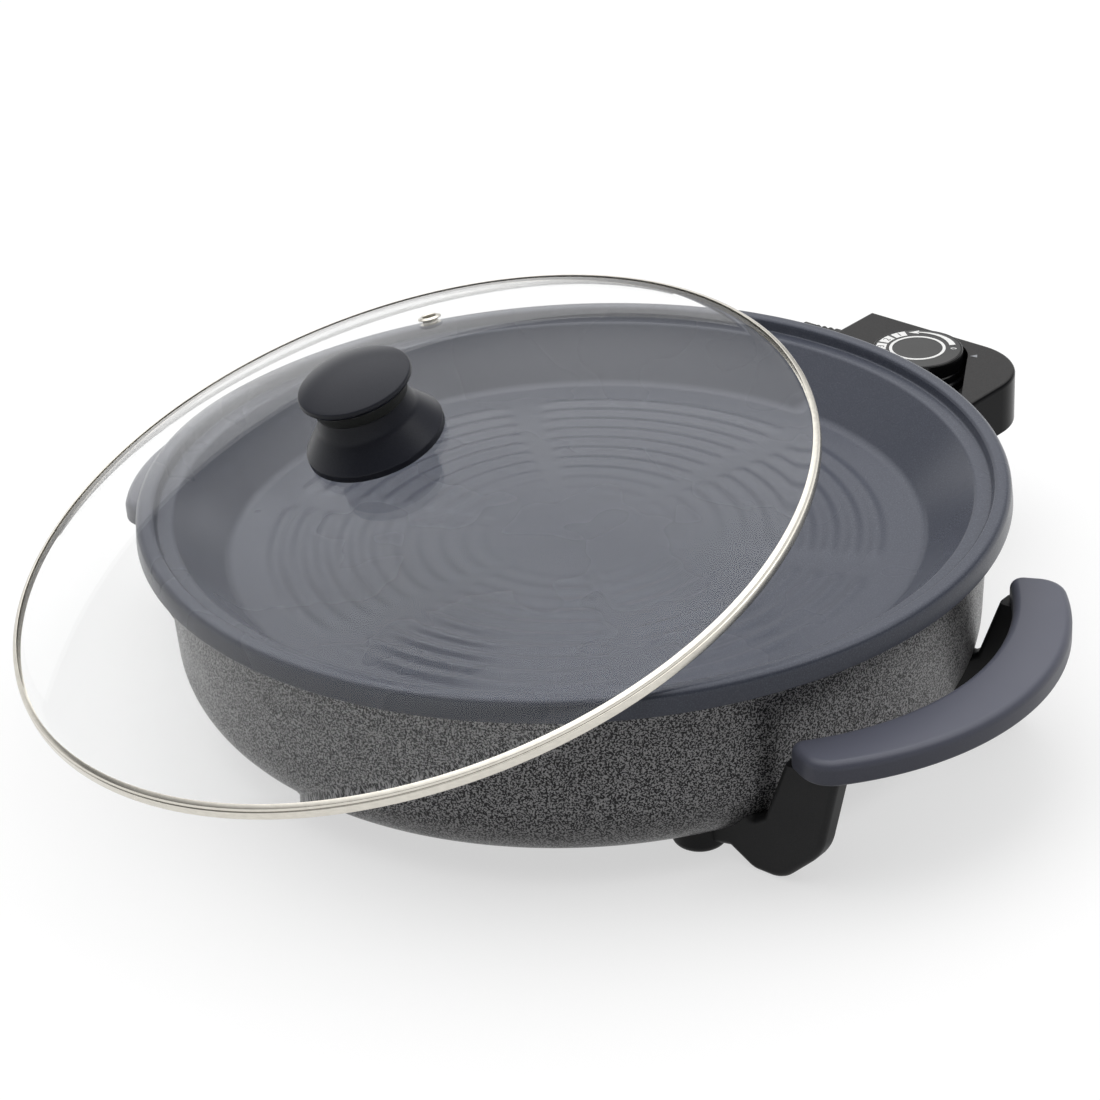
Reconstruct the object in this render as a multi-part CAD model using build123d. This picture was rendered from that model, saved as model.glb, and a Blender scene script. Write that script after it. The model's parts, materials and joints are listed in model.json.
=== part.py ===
# Electric griddle: a deep round non-stick pan on a double-walled heated base, with a domed glass
# lid and a plug-in thermostat.
# Millimetres, +Z up. The origin lies on the table under the middle of the pan, +X points to one
# handle and +Y to the thermostat.
from build123d import *
import math
import os

# Painted outer shell, which everything else on the base is placed from
shell_radius = 190.0
shell_taper = 4.0
shell_bottom = 10.0
shell_corner = 32.0
shell_wall = 1.2

# Pan plate: its height, and how far each ring lies outside or inside the one before
rim_height = 104.0
seat_overhang = 0.6
seat_width = 5.0
seat_depth = 5.5
rim_width = 6.9
rim_roll = 3.5
skirt_flare = 3.0
skirt_drop = 10.5
skirt_wall = 2.6
wall_spread = 24.6
pan_depth = 30.0
plate_wall = 3.0
ripple_margin = 21.5
ripple_pitch = 10.6
ripple_count = 10
ripple_height = 0.9
ripple_width = 6.0

# Base cover
post_inset = 44.0
opening_inset = 30.0
cover_lap = 10.0
cover_dish = 4.0
slot_count = 24
slot_inset = 44.8
slot_length = 22.0
slot_width = 3.2

# Heating element under the floor, in a seat ring cast on the plate
element_inset = 46.0
element_tube = 3.75
element_bend = 15.0
seat_rib = 2.4
seat_rib_width = 12.0
pin_radius = 2.0
pin_spacing = 32.0
pin_inset = 6.0
bush_radius = 4.2
clamp_angles = (-150.0, -90.0, -30.0, 30.0, 150.0)
clamp_width = 8.0
clamp_sheet = 1.2

# Posts, heat shield and their fixings
post_radius = 4.5
post_count = 4
post_turn = 45.0
shield_margin = 14.0
shield_sheet = 0.8
shield_drop = 23.0
post_collar = 3.0
screw_radius = 2.0
screw_head = 4.0
screw_head_height = 2.4
screw_hole_gap = 0.3
post_thread = 14.0
cover_thread = 9.0
leg_thread = 7.0
nut_height = 9.0
nut_radius = 5.0

# Thermostat socket in the wall of the shell
socket_x = 26.0
socket_width = 46.0
socket_tall = 16.0
socket_wall = 3.0
socket_depth = 25.0
socket_lip = 3.0
socket_flange = 6.0
probe_radius = 3.5
probe_length = 46.0
guide_gap = 0.4
guide_wall = 0.8
guide_inset = 8.0

# Thermostat case: lengths in plan, and heights from the axis of its socket
case_length = 106.0
case_offset = 1.0
case_gap = 10.0
case_depth = 60.0
case_rise = 19.2
split_rise = 11.2
step_drop = 6.8
case_drop = 10.8
case_inset = 6.0
case_wall = 2.2
case_corner = 34.0
nose_gap = 0.8
nose_inset = 6.5
sleeve_wall = 0.9
sleeve_gap = 0.3

# Dial
dial_from_socket = 1.0
dial_from_back = 30.0
dial_radius = 23.0
dial_flange = 24.4
dial_flange_height = 4.0
dial_proud = 4.0
dial_wall = 2.4
face_sheet = 0.8
face_radius = 22.0
pocket_gap = 1.0
pocket_depth = 13.5
pocket_wall = 1.8
shaft_radius = 3.0
shaft_gap = 0.05
cam_radius = 8.0
cam_throw = 2.0

# Cord gland
gland_from_back = 25.0
gland_radius = 5.6
gland_tip_radius = 4.4
gland_length = 25.0
gland_ribs = 4
gland_bore = 3.6
gland_neck = 4.7
gland_collar = 5.4

# Handles: a grip across two legs that stand on the table
handle_turn = 2.5
grip_top = 70.0
grip_thickness = 11.0
grip_inner_arc = 124.0
grip_inner_reach = 24.5
grip_outer_arc = 133.0
grip_outer_reach = 53.5
grip_half_angle = 25.5
grip_inner_corner = 6.0
grip_outer_corner = 14.0
grip_edge = 4.0
leg_face = 88.0
leg_thickness = 11.0
leg_gap = 0.1
boss_inset = 58.0
boss_edge = 4.0
boss_radius = 12.5

# Lid
lid_clearance = 2.1
band_height = 7.5
band_width = 4.0
band_sheet = 0.6
glass_wall = 4.0
glass_rise = 46.0
glass_gap = 0.15
vent_radius = 3.2
vent_inset = 71.5
vent_angle = 123.0
eyelet_flange = 5.6
eyelet_sheet = 0.5
knob_hole = 3.0
knob_flange_radius = 31.5
knob_flange_edge = 3.0
knob_neck_radius = 20.0
knob_neck_height = 20.0
collar_radius = 21.4
collar_height = 6.2
knob_radius = 26.0
knob_height = 36.5
knob_underside = 27.2
knob_edge = 3.4

# Where the lid rests: slid this far off the pan, towards this bearing, and leaning on the rim
lid_offset = 83.4
lid_bearing = -108.0
rest_gap = 0.3

# Radii and heights that follow
shell_foot_radius = shell_radius - shell_taper
seat_radius = shell_radius + seat_overhang
lip_radius = seat_radius - seat_width
rim_radius = seat_radius + rim_width
skirt_radius = rim_radius + skirt_flare
floor_radius = lip_radius - wall_spread
ripple_outer = floor_radius - ripple_margin
element_ring = floor_radius - element_inset
post_circle = shell_foot_radius - post_inset
base_opening = post_circle - opening_inset
cover_radius = base_opening + cover_lap
cover_screw_circle = (base_opening + cover_radius) / 2
shield_radius = post_circle + shield_margin
boss_x = shell_radius - boss_inset
floor_top = rim_height - pan_depth
floor_under = floor_top - plate_wall
skirt_edge = rim_height - skirt_drop
shell_top = rim_height - seat_depth - plate_wall
shield_height = floor_under - shield_drop
element_height = floor_under - seat_rib - element_tube - 0.05

# The socket, the thermostat and its dial, from the shell's wall outwards
socket_face = shell_radius + socket_lip
socket_back = socket_face - socket_depth
pin_tip = socket_face - pin_inset
guide_mouth = socket_back - guide_inset
probe_tip = socket_back - probe_length
nose_tip = socket_back + nose_inset
case_front = socket_face + case_gap
case_back = case_front + case_depth
case_left = socket_x + case_offset - case_length / 2
case_right = case_left + case_length
case_top = element_height + case_rise
case_split = element_height + split_rise
case_step = element_height - step_drop
case_bottom = element_height - case_drop
dial_x = socket_x - dial_from_socket
dial_y = case_back - dial_from_back
dial_top = case_top + dial_proud
pocket_floor = case_top - pocket_depth
gland_y = case_back - gland_from_back

# The lid, which drops into the plate's seat
lid_radius = seat_radius - lid_clearance
vent_circle = lid_radius - vent_inset
glass_radius = lid_radius - band_sheet - glass_gap
glass_sphere = (glass_radius**2 + glass_rise**2) / (2 * glass_rise)
edge_slope = glass_radius / math.sqrt(glass_sphere**2 - glass_radius**2)


def turned(points, rounds=()):
    """Solid of revolution about Z from (radius, height) points; rounds lists (point index, radius)."""
    outline = make_face(Polyline(*points, close=True))
    for index, radius in rounds:
        corner = Vector(*points[index])
        nearest = min(outline.vertices(), key=lambda vertex: (vertex.center() - corner).length)
        outline = fillet(nearest, radius)
    return revolve(Plane.XZ * outline, Axis.Z)


def column(radius, low, high, x=0.0, y=0.0):
    """Upright cylinder between two heights."""
    return Pos(x, y, (low + high) / 2) * Cylinder(radius, high - low)


def rod(radius, start, end, x, z):
    """Cylinder along Y between two places."""
    return Pos(x, (start + end) / 2, z) * Rot(90, 0, 0) * Cylinder(radius, end - start)


def block(low, high):
    """Box between two opposite corners."""
    size = [b - a for a, b in zip(low, high)]
    middle = [(a + b) / 2 for a, b in zip(low, high)]
    return Pos(*middle) * Box(*size)


def screw(x, y, low, high):
    """Pan-head screw that points up, with its head below the low end."""
    head = column(screw_head, low - screw_head_height, low, x, y)
    slot = block((x - screw_head, y - 0.5, low - screw_head_height - 1),
                 (x + screw_head, y + 0.5, low - screw_head_height + 1))
    return head - slot + column(screw_radius, low, high, x, y)


def around(count, turn=0.0):
    """Rotations that repeat something evenly about the pan's axis."""
    return [Rot(0, 0, turn + 360.0 * i / count) for i in range(count)]


def griddle_plate():
    seat = rim_height - seat_depth
    under_shift = plate_wall * 0.45
    points = [
        (0, floor_top), (floor_radius, floor_top), (lip_radius - 2.0, seat), (seat_radius, seat),
        (seat_radius + 1.2, rim_height), (rim_radius + rim_roll * 0.55, rim_height),
        (skirt_radius, skirt_edge), (skirt_radius - skirt_wall, skirt_edge),
        (rim_radius - 0.6, rim_height - plate_wall), (seat_radius + plate_wall, rim_height - plate_wall),
        (seat_radius + plate_wall - 0.6, seat - plate_wall),
        (lip_radius + under_shift - 1.0, seat - plate_wall),
        (floor_radius + under_shift, floor_under), (0, floor_under),
    ]
    rounds = ((1, 7.0), (2, 3.0), (3, 1.0), (4, 2.4), (5, rim_roll), (8, 1.2), (9, 0.8), (12, 9.0), (11, 2.0))
    plate = turned(points, rounds)
    for i in range(ripple_count):
        radius = ripple_outer - i * ripple_pitch
        ridge = Pos(radius, floor_top) * Ellipse(ripple_width / 2, ripple_height)
        plate += revolve(Plane.XZ * ridge, Axis.Z)
    inner = element_ring - seat_rib_width / 2
    outer = element_ring + seat_rib_width / 2
    seat_ring = turned([(inner, floor_under - seat_rib), (outer, floor_under - seat_rib),
                        (outer, floor_under + 0.5), (inner, floor_under + 0.5)])
    return plate + seat_ring


def shell_volume(gap=0.0, top=None):
    """Everything inside the outside face of the painted shell, grown by a gap."""
    high = shell_top if top is None else top
    flare = (shell_radius - shell_foot_radius) / (shell_top - shell_bottom)
    points = [(0, shell_bottom - gap), (shell_foot_radius + gap - flare * gap, shell_bottom - gap),
              (shell_radius + gap + flare * (high - shell_top), high), (0, high)]
    return turned(points, ((1, shell_corner + gap),))


def socket_window(gap=0.0):
    half_x = socket_width / 2 + socket_wall + gap
    half_z = socket_tall / 2 + socket_wall + gap
    return block((socket_x - half_x, socket_back, element_height - half_z),
                 (socket_x + half_x, socket_face + 10.0, element_height + half_z))


def outer_shell():
    shell = shell_volume() - shell_volume(-shell_wall, shell_top + 1.0)
    shell -= column(base_opening, shell_bottom - 1.0, shell_bottom + 2 * shell_wall)
    shell -= socket_window(0.2)
    hole = screw_radius + screw_hole_gap
    low = shell_bottom - 1.0
    for place in around(post_count, post_turn):
        shell -= place * column(hole, low, low + 4.0, post_circle)
    for place in around(post_count):
        shell -= place * column(hole, low, low + 4.0, cover_screw_circle)
    for x, y in leg_screw_places():
        shell -= column(hole, low, low + 10.0, x, y)
    return shell


def base_cover():
    low = shell_bottom - shell_wall
    flat = base_opening - 6.0
    points = [(0, low + cover_dish), (flat - cover_dish, low + cover_dish), (flat, low), (cover_radius, low),
              (cover_radius, low + shell_wall), (flat + 0.6, low + shell_wall),
              (flat - cover_dish + 0.6, low + cover_dish + shell_wall), (0, low + cover_dish + shell_wall)]
    cover = turned(points)
    slot = Pos(base_opening - slot_inset, 0, low) * extrude(SlotOverall(slot_length, slot_width), 3 * cover_dish)
    for place in around(slot_count):
        cover -= place * slot
    for place in around(post_count):
        cover -= place * column(screw_radius + screw_hole_gap, low - 1.0, low + 3.0, cover_screw_circle)
    return cover


def cover_screws():
    low = shell_bottom - shell_wall
    return [place * screw(cover_screw_circle, 0, low, low + cover_thread) for place in around(post_count)]


def heating_element():
    """Sheathed tube bent to a ring that opens towards the socket, with two straight ends."""
    height = element_height
    runs = []
    for side in (-1, 1):
        lead = socket_x + side * pin_spacing / 2
        bend_x = lead + side * element_bend
        bend_y = math.sqrt((element_ring + element_bend)**2 - bend_x**2)
        share = element_ring / (element_ring + element_bend)
        meet = Vector(bend_x * share, bend_y * share, height)
        toward = (Vector(lead, bend_y, height) + meet) / 2 - Vector(bend_x, bend_y, height)
        middle = Vector(bend_x, bend_y, height) + toward.normalized() * element_bend
        runs.append((Vector(lead, socket_back - 4.0, height), Vector(lead, bend_y, height), middle, meet))
    left, right = runs
    path = Wire([
        Edge.make_line(left[0], left[1]),
        Edge.make_three_point_arc(left[1], left[2], left[3]),
        Edge.make_three_point_arc(left[3], Vector(0, -element_ring, height), right[3]),
        Edge.make_three_point_arc(right[3], right[2], right[1]),
        Edge.make_line(right[1], right[0]),
    ])
    start = Plane(origin=left[0], z_dir=(0, -1, 0))
    return sweep(start * Circle(element_tube), path)


def element_clamps():
    """Pressed saddles that hold the tube up to its seat ring."""
    bottom = element_height - element_tube
    top = floor_under - seat_rib
    reach = element_tube + clamp_sheet + 0.1
    saddle = block((element_ring - reach, -clamp_width / 2, bottom - clamp_sheet - 0.05),
                   (element_ring + reach, clamp_width / 2, top))
    saddle -= block((element_ring - element_tube - 0.1, -clamp_width, bottom - 0.05),
                    (element_ring + element_tube + 0.1, clamp_width, top + 1.0))
    edge = element_ring + seat_rib_width / 2
    wing = block((element_ring + reach - clamp_sheet, -clamp_width / 2, floor_under - clamp_sheet),
                 (edge + 11.0, clamp_width / 2, floor_under))
    wing -= block((0, -clamp_width, top), (edge + 0.05, clamp_width, floor_under + 1.0))
    wing -= column(screw_radius + 0.2, top - 2.0, floor_under + 1.0, edge + 6.0)
    leg = block((element_ring + reach - clamp_sheet, -clamp_width / 2, top - clamp_sheet),
                (edge + clamp_sheet, clamp_width / 2, top))
    riser = block((edge + 0.05, -clamp_width / 2, top - clamp_sheet),
                  (edge + 0.05 + clamp_sheet, clamp_width / 2, floor_under))
    clamp = saddle + leg + riser + wing
    return [Rot(0, 0, angle) * clamp for angle in clamp_angles]


def clamp_screws():
    place = element_ring + seat_rib_width / 2 + 6.0
    low = floor_under - clamp_sheet
    return [Rot(0, 0, angle) * (column(screw_head, low - screw_head_height, low, place)
                                + column(screw_radius, low, floor_under, place))
            for angle in clamp_angles]


def pin_places():
    return [socket_x - pin_spacing / 2, socket_x + pin_spacing / 2]


def terminal_pins():
    tip = pin_tip - pin_radius
    return [rod(pin_radius, socket_back - 4.0, tip, x, element_height)
            + Pos(x, tip, element_height) * Sphere(pin_radius) for x in pin_places()]


def terminal_bushes():
    bushes = []
    for x in pin_places():
        bush = rod(bush_radius, socket_back, socket_back + socket_wall + 2.0, x, element_height)
        bushes.append(bush - rod(pin_radius + 0.02, socket_back - 1.0, socket_back + 9.0, x, element_height))
    return bushes


def socket_shroud():
    half_x = socket_width / 2
    half_z = socket_tall / 2
    low = element_height - half_z
    high = element_height + half_z
    body = block((socket_x - half_x - socket_wall, socket_back, low - socket_wall),
                 (socket_x + half_x + socket_wall, socket_face, high + socket_wall))
    flange = block((socket_x - half_x - socket_wall - socket_flange, shell_radius - 16.0,
                    low - socket_wall - socket_flange / 2),
                   (socket_x + half_x + socket_wall + socket_flange, socket_face,
                    high + socket_wall + socket_flange / 2))
    shroud = body + (flange - shell_volume(0.1))
    shroud -= block((socket_x - half_x, socket_back + socket_wall, low),
                    (socket_x + half_x, socket_face + 1, high))
    for x in pin_places():
        shroud -= rod(bush_radius + 0.02, socket_back - 1.0, socket_back + 4.0, x, element_height)
    return shroud - rod(probe_radius + 1.0, socket_back - 1.0, socket_back + 4.0, socket_x, element_height)


def probe_guide():
    """Closed tube under the floor that the thermostat's probe slides into."""
    inner = probe_radius + guide_gap
    outer = inner + guide_wall
    end = probe_tip - 3.0
    tube = rod(outer, end, guide_mouth, socket_x, element_height)
    saddle = block((socket_x - outer, end + 6.0, element_height),
                   (socket_x + outer, guide_mouth - 6.0, floor_under))
    return tube + saddle - rod(inner, end + guide_wall, guide_mouth + 1.0, socket_x, element_height)


def support_posts():
    low = shell_bottom + shell_wall
    collar_high = shield_height
    posts = []
    for place in around(post_count, post_turn):
        post = column(post_radius, low, floor_under, post_circle)
        post += column(post_radius + 2.5, collar_high - post_collar, collar_high, post_circle)
        post -= column(screw_radius + 0.02, low - 1.0, low + post_thread, post_circle)
        posts.append(place * post)
    return posts


def post_screws():
    low = shell_bottom
    return [place * screw(post_circle, 0, low, low + post_thread) for place in around(post_count, post_turn)]


def heat_shield():
    shield = column(shield_radius, shield_height, shield_height + shield_sheet)
    for place in around(post_count, post_turn):
        shield -= place * column(post_radius + 0.2, shield_height - 1.0, shield_height + 2.0, post_circle)
    return shield


def grip():
    """Curved bar across the two legs of one handle, at the +X side."""
    outer = shell_radius + grip_outer_reach
    inner = shell_radius + grip_inner_reach
    bar = Pos(outer - grip_outer_arc, 0) * Circle(grip_outer_arc)
    bar -= Pos(inner - grip_inner_arc, 0) * Circle(grip_inner_arc)
    reach = outer + 10.0
    spread = reach * math.tan(math.radians(grip_half_angle))
    bar &= make_face(Polyline((0, 0), (reach, -spread), (reach, spread), close=True))
    corners = bar.vertices().sort_by(lambda vertex: math.hypot(vertex.X, vertex.Y))
    bar = fillet(corners[:2], grip_inner_corner)
    corners = bar.vertices().filter_by(lambda vertex: abs(math.hypot(vertex.X - outer + grip_outer_arc, vertex.Y)
                                                          - grip_outer_arc) < 0.01)
    bar = fillet(corners, grip_outer_corner)
    solid = Pos(0, 0, grip_top - grip_thickness) * extrude(bar, grip_thickness)
    solid = fillet(solid.faces().sort_by(Axis.Z)[-1].edges(), grip_edge)
    return fillet(solid.faces().sort_by(Axis.Z)[0].edges(), grip_edge / 3)


def leg(side):
    """Flat leg at one end of the grip, with its foot and an arm that runs in under the shell."""
    high = grip_top - grip_thickness
    arm = high - 29.0
    bend = high - 40.0
    points = [(-9.0, high), (-18.0, arm - 3.5), (-22.0, arm - 9.0), (-34.0, arm), (-boss_inset, arm),
              (-boss_inset, 3.0), (-38.0, 7.0), (-26.0, 0.0), (-11.0, 0.0), (7.5, bend), (13.5, high - 23.0),
              (18.0, high)]
    rounds = ((2, 3.0), (7, 9.0), (8, 14.0), (9, 10.0))
    outline = make_face(Polyline(*[(shell_radius + x, z) for x, z in points], close=True))
    for index, radius in rounds:
        corner = Vector(shell_radius + points[index][0], points[index][1])
        nearest = min(outline.vertices(), key=lambda vertex: (vertex.center() - corner).length)
        outline = fillet(nearest, radius)
    near = side * (leg_face - leg_thickness) if side > 0 else -leg_face
    plate = Pos(0, near + leg_thickness, 0) * extrude(Plane.XZ * outline, leg_thickness)
    middle = side * (leg_face - leg_thickness / 2)
    boss = column(boss_radius, 0.0, arm, boss_x, middle)
    boss = fillet(boss.edges().sort_by(Axis.Z)[0], boss_edge)
    piece = plate + boss - shell_volume(leg_gap)
    piece -= column(screw_radius + screw_hole_gap, -1.0, arm, boss_x, middle)
    return piece - column(screw_head + 0.4, -1.0, 4.5, boss_x, middle)


def leg_screw_places():
    """Middles of the four bosses, in plan."""
    y = leg_face - leg_thickness / 2
    places = [around(1, handle_turn)[0] * Pos(side_x, side_y) for side_x, side_y in
              ((boss_x, -y), (boss_x, y), (-boss_x, y), (-boss_x, -y))]
    return [(place.position.X, place.position.Y) for place in places]


def leg_screws():
    return [screw(x, y, 4.5, shell_bottom + shell_wall + leg_thread) for x, y in leg_screw_places()]


def leg_nuts():
    """Thick nuts fixed to the inside of the shell, one over each leg's screw."""
    nuts = []
    for x, y in leg_screw_places():
        nut = column(nut_radius, shell_bottom, shell_bottom + nut_height, x, y) & shell_volume(-shell_wall)
        nuts.append(nut - column(screw_radius + 0.02, shell_bottom - 1.0, shell_bottom + nut_height + 1.0, x, y))
    return nuts


def case_plan(inset):
    """Outline of the thermostat case seen from above, drawn in by an inset."""
    plan = Pos((case_left + case_right) / 2, (case_front + case_back) / 2) * Rectangle(
        case_right - case_left - 2 * inset, case_back - case_front - 2 * inset)
    far = plan.vertices().sort_by(lambda vertex: vertex.X + vertex.Y)[-1]
    plan = fillet(far, case_corner - inset)
    return plan


def dial_pocket(gap, floor):
    """Space round the dial, open towards the pan so that fingers reach its side."""
    radius = dial_flange + pocket_gap + gap
    high = case_top + 5.0
    well = column(radius, floor, high, dial_x, dial_y)
    scoop = make_face(Polyline((dial_x, case_front - 5.0), (case_right - 4.0 + gap, case_front - 5.0),
                               (dial_x + radius * 0.8, dial_y + radius * 0.6), (dial_x, dial_y), close=True))
    return well + Pos(0, 0, floor) * extrude(scoop, high - floor)


def case_hollow():
    upper_height = case_top - case_step - 2 * case_wall
    upper = Pos(0, 0, case_step + case_wall) * extrude(case_plan(case_wall), upper_height)
    lower_plan = case_plan(case_inset + case_wall)
    lower = Pos(0, 0, case_bottom + case_wall) * extrude(lower_plan, case_step - case_bottom)
    return upper + lower - dial_pocket(pocket_wall, pocket_floor - pocket_wall)


def case_shell():
    upper = Pos(0, 0, case_step) * extrude(case_plan(0), case_top - case_step)
    upper = fillet(upper.faces().sort_by(Axis.Z)[-1].edges(), 2.0)
    lower = Pos(0, 0, case_bottom) * extrude(case_plan(case_inset), case_step - case_bottom)
    shell = upper + lower - dial_pocket(0, pocket_floor) - case_hollow()
    shell -= Pos(case_left, gland_y, case_split) * Rot(0, 90, 0) * Cylinder(gland_neck + 0.1, 12.0)
    return shell - column(shaft_radius + shaft_gap, pocket_floor - 5.0, pocket_floor + 5.0, dial_x, dial_y)


def case_split_box(above):
    low = case_split if above else case_bottom - 5.0
    high = case_top + 5.0 if above else case_split
    return block((case_left - 5.0, case_front - 5.0, low), (case_right + 5.0, case_back + 5.0, high))


def case_screw_places():
    near = case_front + case_inset + 6.0
    far = case_back - case_inset - 6.0
    left = case_left + case_inset + 6.0
    return [(left, near), (left, far), (case_right - case_inset - 8.0, far - 11.0)]


def case_top_shell():
    shell = case_shell() & case_split_box(True)
    for x, y in case_screw_places():
        post = column(3.6, case_split - 4.0, case_top - case_wall, x, y)
        shell += post - column(1.6, case_split - 5.0, case_split + 4.0, x, y)
    return shell


def case_bottom_shell():
    shell = case_shell() & case_split_box(False)
    half_x = socket_width / 2 - nose_gap
    half_z = socket_tall / 2 - nose_gap
    nose = block((socket_x - half_x, nose_tip, element_height - half_z),
                 (socket_x + half_x, case_front + 0.6, element_height + half_z))
    shell += nose
    sleeve = pin_radius + sleeve_gap + sleeve_wall + 0.02
    for x in pin_places():
        shell -= rod(sleeve, nose_tip - 1.0, case_front + 10.0, x, element_height)
    shell -= rod(probe_radius + 0.05, nose_tip - 1.0, case_front + 10.0, socket_x, element_height)
    for x, y in case_screw_places():
        shell += column(3.6, case_bottom + case_wall / 2, case_split - 4.0, x, y)
        shell -= column(1.6, case_bottom - 1.0, case_split, x, y)
        shell -= column(3.0, case_bottom - 1.0, case_bottom + 2.0, x, y)
    return shell


def case_screws():
    return [column(2.8, case_bottom + 0.2, case_bottom + 2.0, x, y)
            + column(1.5, case_bottom + 2.0, case_split + 3.5, x, y) for x, y in case_screw_places()]


def probe_tube():
    back = case_front + case_inset + case_wall
    tube = rod(probe_radius, probe_tip + probe_radius, back + 3.0, socket_x, element_height)
    return tube + Pos(socket_x, probe_tip + probe_radius, element_height) * Sphere(probe_radius)


def contact_sleeves():
    sleeves = []
    inner = pin_radius + sleeve_gap
    for x in pin_places():
        sleeve = rod(inner + sleeve_wall, nose_tip + 1.0, case_front + 6.0, x, element_height)
        sleeves.append(sleeve - rod(inner, nose_tip - 1.0, case_front + 4.0, x, element_height))
    return sleeves


def thermostat_base():
    low = case_bottom + case_wall
    base = block((dial_x - 18.0, dial_y - 9.0, low), (dial_x + 18.0, dial_y + 15.0, low + 3.2))
    return base + block((dial_x - 18.0, dial_y - 9.0, low + 3.2), (dial_x - 12.0, dial_y + 15.0, low + 4.6))


def contact_springs():
    low = case_bottom + case_wall + 4.6
    blades = []
    for y in (dial_y - 6.0, dial_y + 5.0):
        blade = block((dial_x - 17.5, y, low), (dial_x + 13.0, y + 5.0, low + 0.4))
        blades.append(blade + column(1.6, low - 1.0, low, dial_x + 10.0, y + 2.5))
    return blades


def dial_knob():
    floor = pocket_floor + 0.4
    body = turned([(0, floor), (dial_flange, floor), (dial_flange, floor + dial_flange_height),
                   (dial_radius, floor + dial_flange_height + 1.0), (dial_radius, dial_top), (0, dial_top)],
                  ((4, 0.8),))
    body -= column(face_radius, dial_top - face_sheet, dial_top + 1.0)
    body -= turned([(shaft_radius + 3.0, floor - 1), (dial_radius - dial_wall, floor - 1),
                    (dial_radius - dial_wall, dial_top - 4.0), (shaft_radius + 3.0, dial_top - 4.0)])
    body -= column(shaft_radius + 0.02, floor - 1.0, dial_top - 6.0)
    return Pos(dial_x, dial_y, 0) * body


def dial_face():
    return column(face_radius - 0.1, dial_top - face_sheet, dial_top, dial_x, dial_y)


def dial_shaft():
    return column(shaft_radius, case_bottom + case_wall + 5.8, dial_top - 6.5, dial_x, dial_y)


def dial_cam():
    low = case_bottom + case_wall + 5.4
    cam = Pos(0, cam_throw, 0) * column(cam_radius, low, low + 2.6)
    cam -= column(shaft_radius + 0.02, low + 0.4, low + 4.0)
    return Pos(dial_x, dial_y, 0) * cam


def cord_gland():
    """Ribbed strain relief, turned about the cord's axis; its inner collar is held by the case."""
    end = gland_length
    points = [(gland_bore, -8.0), (gland_collar, -8.0), (gland_collar, -case_wall - 0.1),
              (gland_neck, -case_wall - 0.1), (gland_neck, 0.05), (gland_radius, 0.05), (gland_radius, 3.0)]
    pitch = (end - 9.0) / gland_ribs
    for i in range(gland_ribs):
        low = 3.0 + i * pitch
        share = i / gland_ribs
        radius = gland_radius + (gland_tip_radius - gland_radius) * share
        points += [(radius, low + pitch * 0.55), (radius - 1.1, low + pitch * 0.6),
                   (radius - 1.1, low + pitch)]
    points += [(gland_tip_radius, end - 6.0), (gland_tip_radius, end), (gland_bore, end)]
    return Pos(case_left, gland_y, case_split) * Rot(0, -90, 0) * turned(points)


def band_top(radius):
    """Height of the underside of the band's upper lip, which follows the glass."""
    return band_height - band_sheet + (lid_radius - radius) * edge_slope


def glass_centre():
    return band_top(glass_radius) - glass_gap - math.sqrt(glass_sphere**2 - glass_radius**2)


def lid_band():
    inner = lid_radius - band_width
    outer = lid_radius - band_sheet
    lip = band_top(inner)
    return turned([(lid_radius, 0), (lid_radius, band_top(lid_radius) + band_sheet),
                   (inner, lip + band_sheet), (inner, lip), (outer, band_top(outer)),
                   (outer, band_sheet), (inner, band_sheet), (inner, 0)])


def lid_glass():
    centre = glass_centre()
    inner_sphere = glass_sphere - glass_wall
    dome = Pos(0, 0, centre) * (Sphere(glass_sphere) - Sphere(inner_sphere))
    dome &= column(glass_radius, 0, centre + glass_sphere + 5.0)
    dome -= column(knob_hole, 0, centre + glass_sphere + 5.0)
    return dome - vent_place(0) * column(vent_radius + eyelet_sheet + 0.05, -10.0, 10.0)


def vent_place(height):
    """Frame on the glass's outer face at the steam vent, with Z along its normal."""
    lean = math.degrees(math.asin(vent_circle / glass_sphere))
    turn = Rot(0, 0, vent_angle) * Pos(0, 0, glass_centre()) * Rot(0, lean, 0)
    return turn * Pos(0, 0, glass_sphere + height)


def vent_eyelet():
    top = turned([(vent_radius, 0), (eyelet_flange, 0), (eyelet_flange, eyelet_sheet),
                  (vent_radius + 0.6, eyelet_sheet * 2), (vent_radius, eyelet_sheet * 2)])
    tube = column(vent_radius + eyelet_sheet, -glass_wall - 0.6, 0)
    tube -= column(vent_radius, -glass_wall - 1.0, 1.0)
    rim = column(eyelet_flange - 0.6, -glass_wall - 1.0, -glass_wall - 0.5) - column(vent_radius, -9.0, 1.0)
    return vent_place(0.15) * (top + tube + rim)


def glass_top():
    return glass_centre() + glass_sphere


def knob_flange():
    base = glass_top()
    edge = base + 0.1 - knob_flange_radius**2 / (2 * glass_sphere)
    foot = turned([(knob_hole, edge), (knob_flange_radius, edge),
                   (knob_flange_radius, edge + knob_flange_edge),
                   (knob_neck_radius + 3.0, base + knob_neck_height * 0.62),
                   (knob_neck_radius, base + knob_neck_height), (knob_hole, base + knob_neck_height)],
                  ((3, 9.0),))
    return foot - Pos(0, 0, glass_centre()) * Sphere(glass_sphere + 0.05)


def knob_collar():
    low = glass_top() + knob_neck_height
    return turned([(knob_hole, low), (collar_radius - 1.0, low), (collar_radius, low + 1.0),
                   (collar_radius, low + collar_height - 1.0), (collar_radius - 1.0, low + collar_height),
                   (knob_hole, low + collar_height)])


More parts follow.
